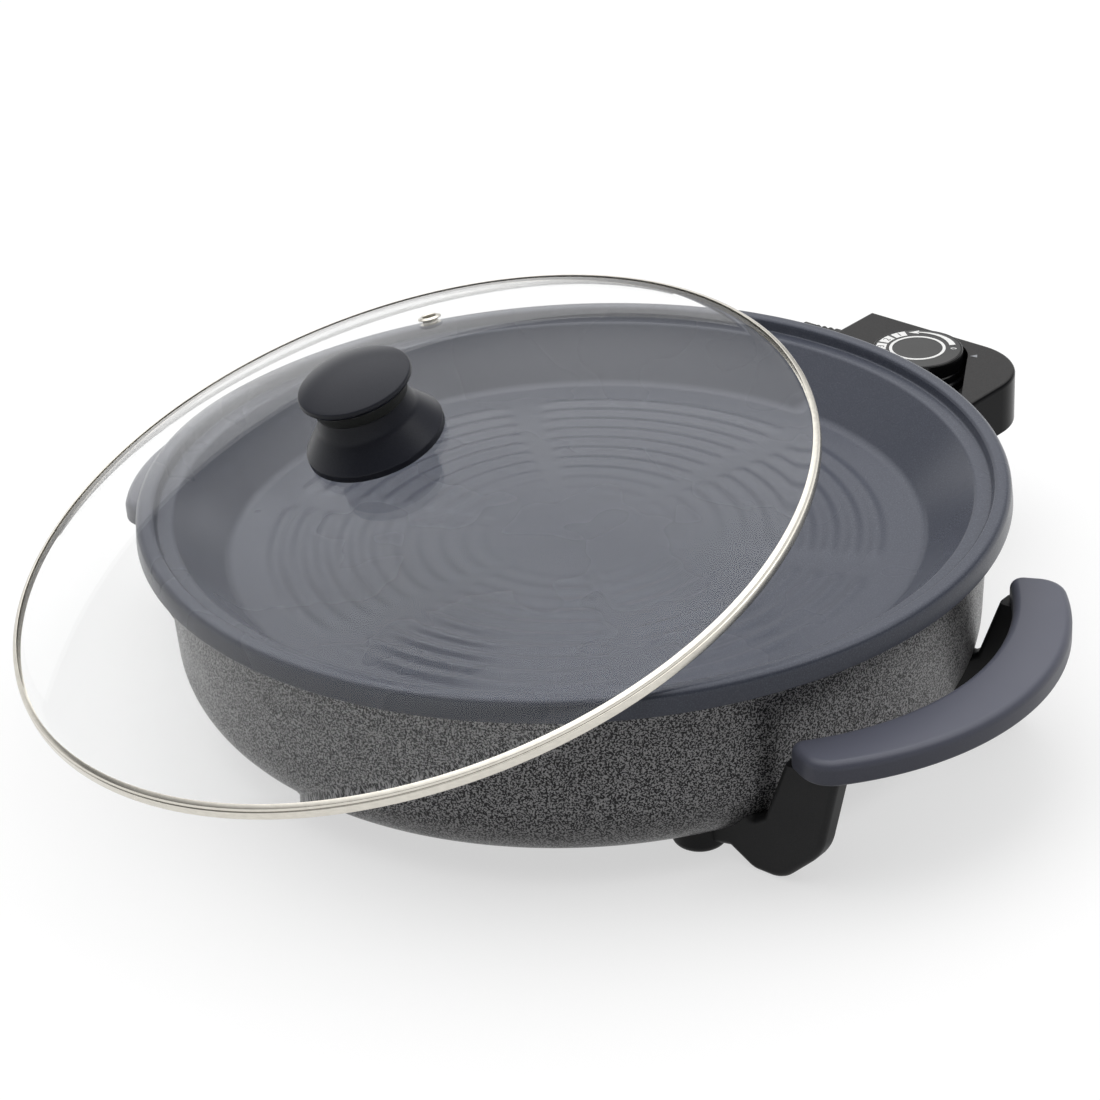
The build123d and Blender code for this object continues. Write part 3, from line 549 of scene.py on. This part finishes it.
plate = {"rimHeight": 104.0, "rimRadius": 197.5, "rimRoll": 3.5, "rollShare": 0.55,
         "skirtRadius": 200.5, "skirtDrop": 10.5, "skirtWall": 2.6, "seatRadius": 190.6,
         "seatDepth": 5.5, "seatLean": 1.2, "lipRadius": 185.6, "lipLean": 2.0, "underLean": 0.6,
         "depth": 30.0, "floorRadius": 161.0, "wall": 3.0, "wallLean": 0.45,
         "rounds": {0: 7.0, 1: 3.0, 2: 1.0, 3: 2.4, 4: 3.5, 5: 0.7, 7: 1.2, 8: 0.8, 10: 2.0,
                    11: 9.0}, "plainRings": (8.0, 16.0, 24.0, 30.0), "ringStart": 34.0,
         "ringEnd": 152.0, "ringStep": 1.06,
         "rippleOuter": 139.2, "ripplePitch": 10.6, "rippleCount": 10, "rippleHeight": 1.0,
         "rippleTail": 0.6, "fadeWidth": 60.0, "fadePower": 0.6, "gapBearing": 82.5,
         "gapHalf": 4.2, "gapPlain": 0.6, "sectors": 6, "flatness": 0.01}


def plateProfile(p):
    seat = p["rimHeight"] - p["seatDepth"]
    floorTop = p["rimHeight"] - p["depth"]
    under = floorTop - p["wall"]
    rimUnder = p["rimHeight"] - p["wall"]
    seatUnder = seat - p["wall"]
    skirtLow = p["rimHeight"] - p["skirtDrop"]
    shift = p["wall"] * p["wallLean"]
    outer = [(p["floorRadius"], floorTop), (p["lipRadius"] - p["lipLean"], seat),
             (p["seatRadius"], seat), (p["seatRadius"] + p["seatLean"], p["rimHeight"]),
             (p["rimRadius"] + p["rimRoll"] * p["rollShare"], p["rimHeight"]),
             (p["skirtRadius"], skirtLow)]
    inner = [(p["skirtRadius"] - p["skirtWall"], skirtLow), (p["rimRadius"] - p["underLean"], rimUnder),
             (p["seatRadius"] + p["wall"], rimUnder),
             (p["seatRadius"] + p["wall"] - p["underLean"], seatUnder),
             (p["lipRadius"] + shift - p["lipLean"] / 2, seatUnder),
             (p["floorRadius"] + shift, under), (0.0, under), (0.0, floorTop)]
    rings = [(radius, floorTop) for radius in p["plainRings"]]
    radius = p["ringStart"]
    while radius < p["ringEnd"]:
        rings.append((radius, floorTop))
        radius += p["ringStep"]
    return rings + flatPairs(roundedPath(outer + inner, p["rounds"], 7))


def addRipples(piece, p):
    # concentric ridges, lower towards the middle and broken by six plain spokes
    floorTop = p["rimHeight"] - p["depth"]
    inner = p["rippleOuter"] - (p["rippleCount"] - 0.5) * p["ripplePitch"]
    outer = p["rippleOuter"] + p["rippleTail"] * p["ripplePitch"]
    spacing = 360.0 / p["sectors"]
    for vertex in piece.data.vertices:
        x, y, z = (value / mm for value in vertex.co)
        radius = math.hypot(x, y)
        if abs(z - floorTop) > p["flatness"] or radius < inner or radius > outer:
            continue
        phase = (radius - p["rippleOuter"]) / p["ripplePitch"]
        wave = 0.0 if phase > 0.5 else 0.5 + 0.5 * math.cos(2 * math.pi * phase)
        bearing = (math.degrees(math.atan2(y, x)) - p["gapBearing"]) % spacing
        fromGap = min(bearing, spacing - bearing)
        ends = min(1.0, max(0.0, (fromGap - p["gapHalf"] * p["gapPlain"]) / p["gapHalf"]))
        fade = min(1.0, max(0.0, (radius - inner) / p["fadeWidth"])) ** p["fadePower"]
        vertex.co.z += p["rippleHeight"] * wave * fade * ends * ends * (3 - 2 * ends) * mm


hotPlate = spinPiece("hotPlate", plateProfile(plate), steps=300)
addRipples(hotPlate, plate)
finishPiece(hotPlate, finishes["nonstick_coating"], "base", ("griddle_plate",), 40)
print("hot plate done")

shell = {"radius": 190.0, "footRadius": 186.0, "bottom": 10.0, "corner": 32.0, "wall": 1.2,
         "top": 95.5, "opening": 112.0, "windowPlace": (26.0, 190.0, 64.8),
         "windowSize": (52.4, 60.0, 22.4)}


def shellOutline(s, grow=0.0):
    outline = [(0.0, s["bottom"] - grow), (s["footRadius"] + grow, s["bottom"] - grow),
               (s["radius"] + grow, s["top"])]
    return flatPairs(roundedPath(outline, {1: s["corner"] + grow}, 16))


def buildShell(s):
    profile = [(s["opening"], s["bottom"])] + shellOutline(s)[1:]
    profile += shellOutline(s, -s["wall"])[:0:-1] + [(s["opening"], s["bottom"] + s["wall"])]
    piece = spinPiece("paintedShell", profile, steps=220)
    clearSelection()
    bpy.ops.mesh.primitive_cube_add(size=1.0, location=Vector(s["windowPlace"]) * mm,
                                    scale=Vector(s["windowSize"]) * mm)
    combine(piece, bpy.context.object, "DIFFERENCE")  # the way in for the thermostat
    return piece


paintedShell = buildShell(shell)
finishPiece(paintedShell, finishes["hammertone_paint"], "base", ("outer_shell",), 40)
print("shell done")

handle = {"turn": 2.5, "top": 70.0, "bottom": 59.0, "innerArc": 124.0, "innerCentre": 90.5,
          "outerArc": 133.0, "outerCentre": 110.5, "halfAngle": 25.5, "innerCorner": 6.0,
          "outerCorner": 14.0, "edge": 4.0, "underEdge": 1.4,
          "legFace": 88.0, "legThickness": 11.0, "legEdge": 2.8,
          "legPath": [(181.0, 59.0), (170.0, 29.0), (164.0, 25.0), (156.0, 30.0), (132.0, 30.0),
                      (132.0, 3.0), (152.0, 7.0), (164.0, 0.0), (179.0, 0.0), (199.0, 19.5),
                      (208.0, 59.0)], "legRounds": {2: 2.5, 7: 9.0, 8: 15.0, 9: 26.0},
          "bossX": 132.0, "bossRadius": 12.5, "bossHeight": 30.0, "bossEdge": 4.0,
          "holeRadius": 4.4, "holeDepth": 4.5, "shellGap": 0.1, "tolerance": 0.01}


def arcPoints(centre, radius, start, finish, steps):
    turns = [start + (finish - start) * i / steps for i in range(steps + 1)]
    return [centre + Vector((math.cos(turn), math.sin(turn))) * radius for turn in turns]


def gripCorner(centre, radius, corner, side, half):
    # round a corner where a long arc of the grip meets its end, which points at the pan's axis
    along = Vector((math.cos(half), math.sin(half)))
    inward = Vector((math.sin(half), -math.cos(half)))
    reach = along.dot(centre)
    apart = (inward * corner - centre).length_squared
    run = reach + math.sqrt(reach ** 2 - apart + (radius - side * corner) ** 2)
    middle = along * run + inward * corner
    outward = (middle - centre).normalized() * side
    start = math.atan2(outward.y, outward.x)
    sweep = (math.atan2(-inward.y, -inward.x) - start + math.pi) % (2 * math.pi) - math.pi
    bearing = math.atan2((middle - centre).y, (middle - centre).x)
    return arcPoints(middle, corner, start, start + sweep, 10), bearing


def gripOutline(h):
    half = math.radians(h["halfAngle"])
    outer, inner = Vector((h["outerCentre"], 0)), Vector((h["innerCentre"], 0))
    farCorner, farTurn = gripCorner(outer, h["outerArc"], h["outerCorner"], 1, half)
    nearCorner, nearTurn = gripCorner(inner, h["innerArc"], h["innerCorner"], -1, half)
    upper = arcPoints(outer, h["outerArc"], 0, farTurn, 20)[:-1] + farCorner
    upper += nearCorner[::-1] + arcPoints(inner, h["innerArc"], nearTurn, 0, 20)[1:]
    lower = [Vector((spot.x, -spot.y)) for spot in reversed(upper[1:-1])]
    return upper + lower


def buildGrip(h):
    outline = [(v.x, v.y, h["bottom"]) for v in gripOutline(h)]
    piece = slabPiece("gripBar", outline, h["top"] - h["bottom"])
    pickEdges(piece, lambda middle, way: middle.z > h["top"] - h["tolerance"] and abs(way.z) < 0.1)
    bevelPicked(h["edge"], 7)
    pickEdges(piece, lambda middle, way: middle.z < h["bottom"] + h["tolerance"] and abs(way.z) < 0.1)
    bevelPicked(h["underEdge"], 3)
    return piece


def buildLeg(h, side):
    # a flat leg with a screw boss at its inner end, cut back to stand clear of the shell
    low = -h["legFace"] if side < 0 else h["legFace"] - h["legThickness"]
    faces = (low, low + h["legThickness"])
    outline = [(v.x, low, v.y) for v in roundedPath(h["legPath"], h["legRounds"], 8)]
    piece = slabPiece("legPlate", outline, h["legThickness"], (0, 1, 0))

    def isOuterEdge(middle, way):
        onFace = min(abs(middle.y - face) for face in faces) < h["tolerance"] and abs(way.y) < 0.1
        return onFace and middle.z < h["bottom"] - h["tolerance"] and middle.x > h["bossX"] + 1

    pickEdges(piece, isOuterEdge)
    bevelPicked(h["legEdge"], 5)
    bossOutline = [(0.0, 0.0), (h["bossRadius"], 0.0), (h["bossRadius"], h["bossHeight"]),
                   (0.0, h["bossHeight"])]
    boss = spinPiece("legBoss", flatPairs(roundedPath(bossOutline, {1: h["bossEdge"]}, 6)), 48)
    hole = spinPiece("bossHole", [(0.0, -1.0), (h["holeRadius"], -1.0),
                                  (h["holeRadius"], h["holeDepth"]), (0.0, h["holeDepth"])], 32)
    combine(boss, hole, "DIFFERENCE")
    movePiece(boss, Matrix.Translation(Vector((h["bossX"], low + h["legThickness"] / 2, 0)) * mm))
    combine(piece, boss, "UNION")
    space = spinPiece("shellSpace", shellOutline(shell, h["shellGap"]) + [(0.0, shell["top"])], 220)
    combine(piece, space, "DIFFERENCE")
    return piece


turned = Matrix.Rotation(math.radians(handle["turn"]), 4, "Z")
opposite = Matrix.Rotation(math.pi, 4, "Z")
handlePieces = [(buildGrip(handle), "grip", "handle_phenolic"),
                (buildLeg(handle, -1), "front_leg", "leg_phenolic"),
                (buildLeg(handle, 1), "rear_leg", "leg_phenolic")]
for piece, name, slotName in handlePieces:
    movePiece(piece, turned)
    twin = copyPiece(piece, "left_" + name + "_dressed")
    movePiece(twin, opposite)
    piece.name = "right_" + name + "_dressed"
    finishPiece(piece, finishes[slotName], "base", ("right_" + name,), 35, True)
    finishPiece(twin, finishes[slotName], "base", ("left_" + name,), 35, True)
print("handles done")

lid = {"radius": 188.5, "sheet": 0.6, "glass": 4.0, "rise": 46.0, "gap": 0.15,
       "tilt": 15.756, "lift": 101.719, "offset": 83.4, "bearing": -108.0,
       "edgeWidth": 0.9, "edgePath": [(0.25, 0.5), (0.0, 1.3), (0.0, 3.0), (0.6, 3.7)],
       "glassSteps": 44,
       "bandHeight": 7.5, "bandWidth": 4.0, "bandLow": 1.8, "bandFlange": 2.6, "creaseDrop": 0.8,
       "creaseLow": 0.35, "creaseHigh": 0.4, "creaseDepth": 0.5, "creaseLip": 0.25,
       "bandRounds": {0: 0.8, 1: 0.15, 3: 0.12, 4: 0.35, 5: 0.25, 10: 0.25},
       "ventCircle": 117.0, "ventBearing": 123.0, "ventLift": 0.15,
       "ventPath": [(3.2, -5.2), (5.0, -4.9), (3.7, -4.3), (3.7, 0.0), (5.6, 0.0), (5.6, 0.4),
                    (4.0, 1.1), (3.2, 0.8)], "ventRounds": {4: 0.15, 5: 0.3, 6: 0.4, 7: 0.3}}
knob = {"hole": 3.0, "footRadius": 31.5, "footEdge": 3.0, "footLift": 0.1, "footGap": 0.05,
        "footInset": 0.6, "footRounds": {1: 1.0, 2: 9.0}, "neckRadius": 20.0, "neckHeight": 20.0,
        "flareRadius": 23.0, "flareHeight": 12.4, "collarRadius": 21.4, "collarHeight": 6.2,
        "capRadius": 26.0, "capHeight": 36.5, "capUnder": 27.2, "capEdge": 3.4, "capNeck": 18.5,
        "capLip": 1.5, "capLipDrop": 0.8, "capLipRise": 1.4, "crownInset": 0.3, "crownSteps": 14,
        "capRounds": {2: 0.6, 3: 1.0, 4: 1.2, 5: 1.0}}
glassRadius = lid["radius"] - lid["sheet"] - lid["gap"]
domeRadius = (glassRadius ** 2 + lid["rise"] ** 2) / (2 * lid["rise"])
edgeSlope = glassRadius / math.sqrt(domeRadius ** 2 - glassRadius ** 2)


def bandTop(radius):
    return lid["bandHeight"] - lid["sheet"] + (lid["radius"] - radius) * edgeSlope


domeCentre = bandTop(glassRadius) - lid["gap"] - math.sqrt(domeRadius ** 2 - glassRadius ** 2)
domeTop = domeCentre + domeRadius
slideTurn = Matrix.Rotation(math.radians(lid["bearing"] + 90.0), 4, "Z")
# slid off to one side, lifted and tipped, as it rests on the rim
lidPlace = (slideTurn @ Matrix.Translation(Vector((0, -lid["offset"], lid["lift"])) * mm)
            @ Matrix.Rotation(math.radians(lid["tilt"]), 4, "X") @ slideTurn.inverted())


def domeHeight(radius, thin=0.0):
    return domeCentre + math.sqrt((domeRadius - thin) ** 2 - radius ** 2)


def buildGlass(p):
    steps = p["glassSteps"]
    reach = glassRadius - p["edgeWidth"]
    radii = [knob["hole"] + (reach - knob["hole"]) * i / steps for i in range(steps + 1)]
    profile = [(radius, domeHeight(radius)) for radius in radii]
    profile += [(glassRadius - inset, domeHeight(reach) - drop) for inset, drop in p["edgePath"]]
    profile += [(radius, domeHeight(radius, p["glass"])) for radius in reversed(radii[:-1])]
    return spinPiece("lidDome", profile, steps=180)


def buildBand(p):
    # a rolled strip: upright wall, a fine crease, then a narrow flange lying on the glass
    rim = p["radius"]
    inner = rim - p["bandFlange"]
    outer = rim - p["sheet"]
    hem = rim - p["bandWidth"]
    crease = bandTop(rim) - p["creaseDrop"]
    outline = [(rim, p["bandLow"]), (rim, crease - p["creaseLow"]), (rim - p["creaseDepth"], crease),
               (rim - p["creaseLip"], crease + p["creaseHigh"]),
               (rim - p["creaseDepth"], bandTop(rim) + p["sheet"]), (inner, bandTop(inner) + p["sheet"]),
               (inner, bandTop(inner)), (outer, bandTop(outer)), (outer, p["bandLow"] + p["sheet"]),
               (hem, p["bandLow"] + p["sheet"]), (hem, p["bandLow"])]
    return spinPiece("lidBandStrip", flatPairs(roundedPath(outline, p["bandRounds"], 4)), steps=256)


def buildKnobFoot(p):
    # a flared foot whose underside follows the dome
    edge = domeTop + p["footLift"] - p["footRadius"] ** 2 / (2 * domeRadius)
    outline = [(p["footRadius"], edge), (p["footRadius"], edge + p["footEdge"]),
               (p["flareRadius"], domeTop + p["flareHeight"]),
               (p["neckRadius"], domeTop + p["neckHeight"]), (p["hole"], domeTop + p["neckHeight"])]
    path = flatPairs(roundedPath(outline, p["footRounds"], 8))
    reach = p["footRadius"] - p["footInset"] - p["hole"]
    radii = [p["hole"] + reach * i / 8 for i in range(9)]
    under = [(radius, domeHeight(radius) + p["footGap"]) for radius in radii]
    return spinPiece("knobFoot", path[1:] + under + [path[0]], steps=96)


def buildCollar(p):
    low = domeTop + p["neckHeight"]
    high = low + p["collarHeight"]
    outline = [(p["hole"], low), (p["collarRadius"], low), (p["collarRadius"], high), (p["hole"], high)]
    return spinPiece("knobBand", flatPairs(roundedPath(outline, {1: 1.0, 2: 1.0}, 5)), steps=96)


def buildKnobCap(p):
    # a low crown over a rounded lip
    low = domeTop + p["neckHeight"] + p["collarHeight"]
    under = domeTop + p["capUnder"]
    top = domeTop + p["capHeight"]
    rise = top - under - p["capEdge"]
    bend = (p["capRadius"] ** 2 + rise ** 2) / (2 * rise)
    outline = [(0.0, low), (p["capNeck"], low), (p["capNeck"], under - p["capLipDrop"]),
               (p["capRadius"] - p["capLip"], under), (p["capRadius"], under + p["capLipRise"])]
    for i in range(p["crownSteps"] + 1):
        radius = (p["capRadius"] - p["crownInset"]) * (1 - i / p["crownSteps"])
        outline.append((radius, top - bend + math.sqrt(bend ** 2 - radius ** 2)))
    return spinPiece("knobCap", flatPairs(roundedPath(outline, p["capRounds"], 5)), steps=96)


def buildEyelet(p):
    path = roundedPath(p["ventPath"], p["ventRounds"], 4)
    piece = spinPiece("steamEyelet", flatPairs(path), steps=48)
    lean = math.asin(p["ventCircle"] / domeRadius)
    movePiece(piece, Matrix.Rotation(math.radians(p["ventBearing"]), 4, "Z")
              @ Matrix.Translation((0, 0, domeCentre * mm)) @ Matrix.Rotation(lean, 4, "Y")
              @ Matrix.Translation((0, 0, (domeRadius + p["ventLift"]) * mm)))
    return piece


lidPieces = [(buildGlass(lid), "lid_glass", "lid_glass", 40),
             (buildBand(lid), "lid_band", "band_stainless", 40),
             (buildKnobFoot(knob), "knob_flange", "knob_phenolic", 50),
             (buildCollar(knob), "knob_collar", "collar_grey", 45),
             (buildKnobCap(knob), "lid_knob", "knob_phenolic", 45),
             (buildEyelet(lid), "vent_eyelet", "band_stainless", 45)]
for piece, node, slotName, angle in lidPieces:
    movePiece(piece, lidPlace)
    finishPiece(piece, finishes[slotName], "lid", (node,), angle)
print("lid done")

dial = {"place": (25.0, 233.0), "radius": 23.0, "flange": 24.4, "flangeHeight": 4.0,
        "flangeTaper": 0.9, "base": 70.9, "top": 88.0, "wall": 2.4, "capThick": 4.0,
        "groove": [(0.0, 8.4), (0.45, 8.9), (0.45, 9.3), (0.0, 9.8)],
        "capRounds": {1: 0.5, 2: 0.6, 3: 0.5, 8: 0.9, 9: 0.2}, "disc": 22.0, "discThick": 0.8,
        "discGap": 0.1, "discRound": 0.25}
dialPrint = {"sink": 0.02, "height": 0.12, "ring": (12.7, 14.2), "pointer": 33.5, "zeroRadius": 18.0,
             "zeroSize": 4.4, "arrowAfter": 14.0, "arrowSweep": 78.0, "arrowInner": (16.4, 18.5),
             "arrowOuter": (19.6, 19.4), "headStart": 76.0, "headEnd": 92.0,
             "headRadii": (17.0, 21.0, 19.2), "tiles": 5, "tileAfter": 122.0, "tileStep": 27.0,
             "tileHalf": 11.2, "tileRadii": (15.8, 20.9), "digitRadius": 18.3, "digitSize": 5.2,
             "digitLift": 0.06, "markRadius": 26.6, "markLength": 3.4, "markHalf": 1.7,
             "caseTop": 84.0}


def buildDialCap(p):
    # a skirted cap with a fine groove round it and a shallow well for the disc
    bore = p["radius"] - p["wall"]
    ledge = p["base"] + p["flangeHeight"]
    well = p["top"] - p["discThick"]
    under = p["top"] - p["capThick"]
    outline = [(bore, p["base"]), (p["flange"], p["base"]), (p["flange"], ledge),
               (p["radius"], ledge + p["flangeTaper"])]
    outline += [(p["radius"] - depth, p["base"] + height) for depth, height in p["groove"]]
    outline += [(p["radius"], p["top"]), (p["disc"], p["top"]), (p["disc"], well), (0.0, well),
                (0.0, under), (bore, under)]
    return spinPiece("dialCap", flatPairs(roundedPath(outline, p["capRounds"], 5)), steps=128)


def buildDisc(p):
    rim = p["disc"] - p["discGap"]
    well = p["top"] - p["discThick"]
    outline = [(0.0, well), (rim, well), (rim, p["top"]), (0.0, p["top"])]
    path = roundedPath(outline, {2: p["discRound"]}, 3)
    return spinPiece("dialDiscPlate", flatPairs(path), steps=96)


def around(radius, bearing, height):
    turn = math.radians(bearing)
    return (radius * math.cos(turn), radius * math.sin(turn), height)


def arcBand(name, start, finish, inner, outer, low, high, steps):
    # a flat printed band from one bearing to another; inner and outer are (at start, at finish)
    shares = [i / steps for i in range(steps + 1)]
    points = []
    for edge, order in ((outer, shares), (inner, shares[::-1])):
        for share in order:
            radius = edge[0] + (edge[1] - edge[0]) * share
            points.append(around(radius, start + (finish - start) * share, low))
    return slabPiece(name, points, high - low)


def digitPiece(text, bearing, radius, size, low, high):
    clearSelection()
    bpy.ops.object.text_add(location=(0, 0, 0))
    piece = bpy.context.object
    piece.data.body = text
    piece.data.size = size * mm
    piece.data.align_x = "CENTER"
    piece.data.align_y = "CENTER"
    piece.data.extrude = (high - low) / 2 * mm
    piece.data.resolution_u = 3
    bpy.ops.object.convert(target="MESH")
    piece = bpy.context.object
    spot = Vector(around(radius, bearing, (low + high) / 2)) * mm
    movePiece(piece, Matrix.Translation(spot) @ Matrix.Rotation(math.radians(bearing - 90.0), 4, "Z"))
    return piece


def buildDialPrint(p, top):
    # a ring, a swelling arrow, a zero and numbered tiles, read past the pointer
    low = top - p["sink"]
    high = top + p["height"]
    inner, outer = p["ring"]
    ring = spinPiece("printRing", [(inner, low), (outer, low), (outer, high), (inner, high)], 96)
    start = p["pointer"] + p["arrowAfter"]
    arrow = arcBand("printArrow", start, start + p["arrowSweep"], p["arrowInner"], p["arrowOuter"],
                    low, high, 24)
    headTurns = (start + p["headStart"], start + p["headStart"], start + p["headEnd"])
    corners = [around(radius, turn, low) for radius, turn in zip(p["headRadii"], headTurns)]
    head = slabPiece("printHead", corners, high - low)
    zero = digitPiece("0", p["pointer"], p["zeroRadius"], p["zeroSize"], low, high)
    white, black = [ring, arrow, head, zero], []
    inner, outer = p["tileRadii"]
    for i in range(p["tiles"]):
        bearing = p["pointer"] + p["tileAfter"] + p["tileStep"] * i
        white.append(arcBand("printTile", bearing - p["tileHalf"], bearing + p["tileHalf"],
                             (inner, inner), (outer, outer), low, high, 8))
        black.append(digitPiece(str(i + 1), bearing, p["digitRadius"], p["digitSize"],
                                high - p["sink"], high + p["digitLift"]))
    return joinPieces(white, "dialPrintWhite"), joinPieces(black, "dialPrintDigits")


def buildPointer(p, place):
    # small printed triangle on the case that the numbers line up with
    turn = math.radians(p["pointer"])
    far = p["markRadius"] + p["markLength"]
    spots = []
    for radius, across in ((p["markRadius"], 0.0), (far, p["markHalf"]), (far, -p["markHalf"])):
        spots.append((place[0] + radius * math.cos(turn) - across * math.sin(turn),
                      place[1] + radius * math.sin(turn) + across * math.cos(turn),
                      p["caseTop"] - p["sink"]))
    return slabPiece("pointerMark", spots, p["height"])


dialPlace = Matrix.Translation(Vector((*dial["place"], 0)) * mm)
dialCap, dialDisc = buildDialCap(dial), buildDisc(dial)
dialWhite, dialDigits = buildDialPrint(dialPrint, dial["top"])
for piece in (dialCap, dialDisc, dialWhite, dialDigits):
    movePiece(piece, dialPlace)
finishPiece(dialCap, finishes["dial_plastic"], "dial", ("dial_knob",), 40)
finishPiece(dialDisc, finishes["dial_print"], "dial", ("dial_face",), 40)
finishPiece(dialWhite, whitePrint, "dial", (), 30)
finishPiece(dialDigits, finishes["dial_print"], "dial", (), 30)
finishPiece(buildPointer(dialPrint, dial["place"]), greyPrint, "controller", (), 30)
print("dial done")

slotNames = {row["node"]: row["material_slot"] for row in frame["record"]["subparts"]}
for name, piece in frame["nodes"].items():
    material = finishes[slotNames[name]]
    if piece.data.materials:
        for slot in piece.material_slots:
            slot.material = material
    else:
        piece.data.materials.append(material)
print("construction nodes finished")
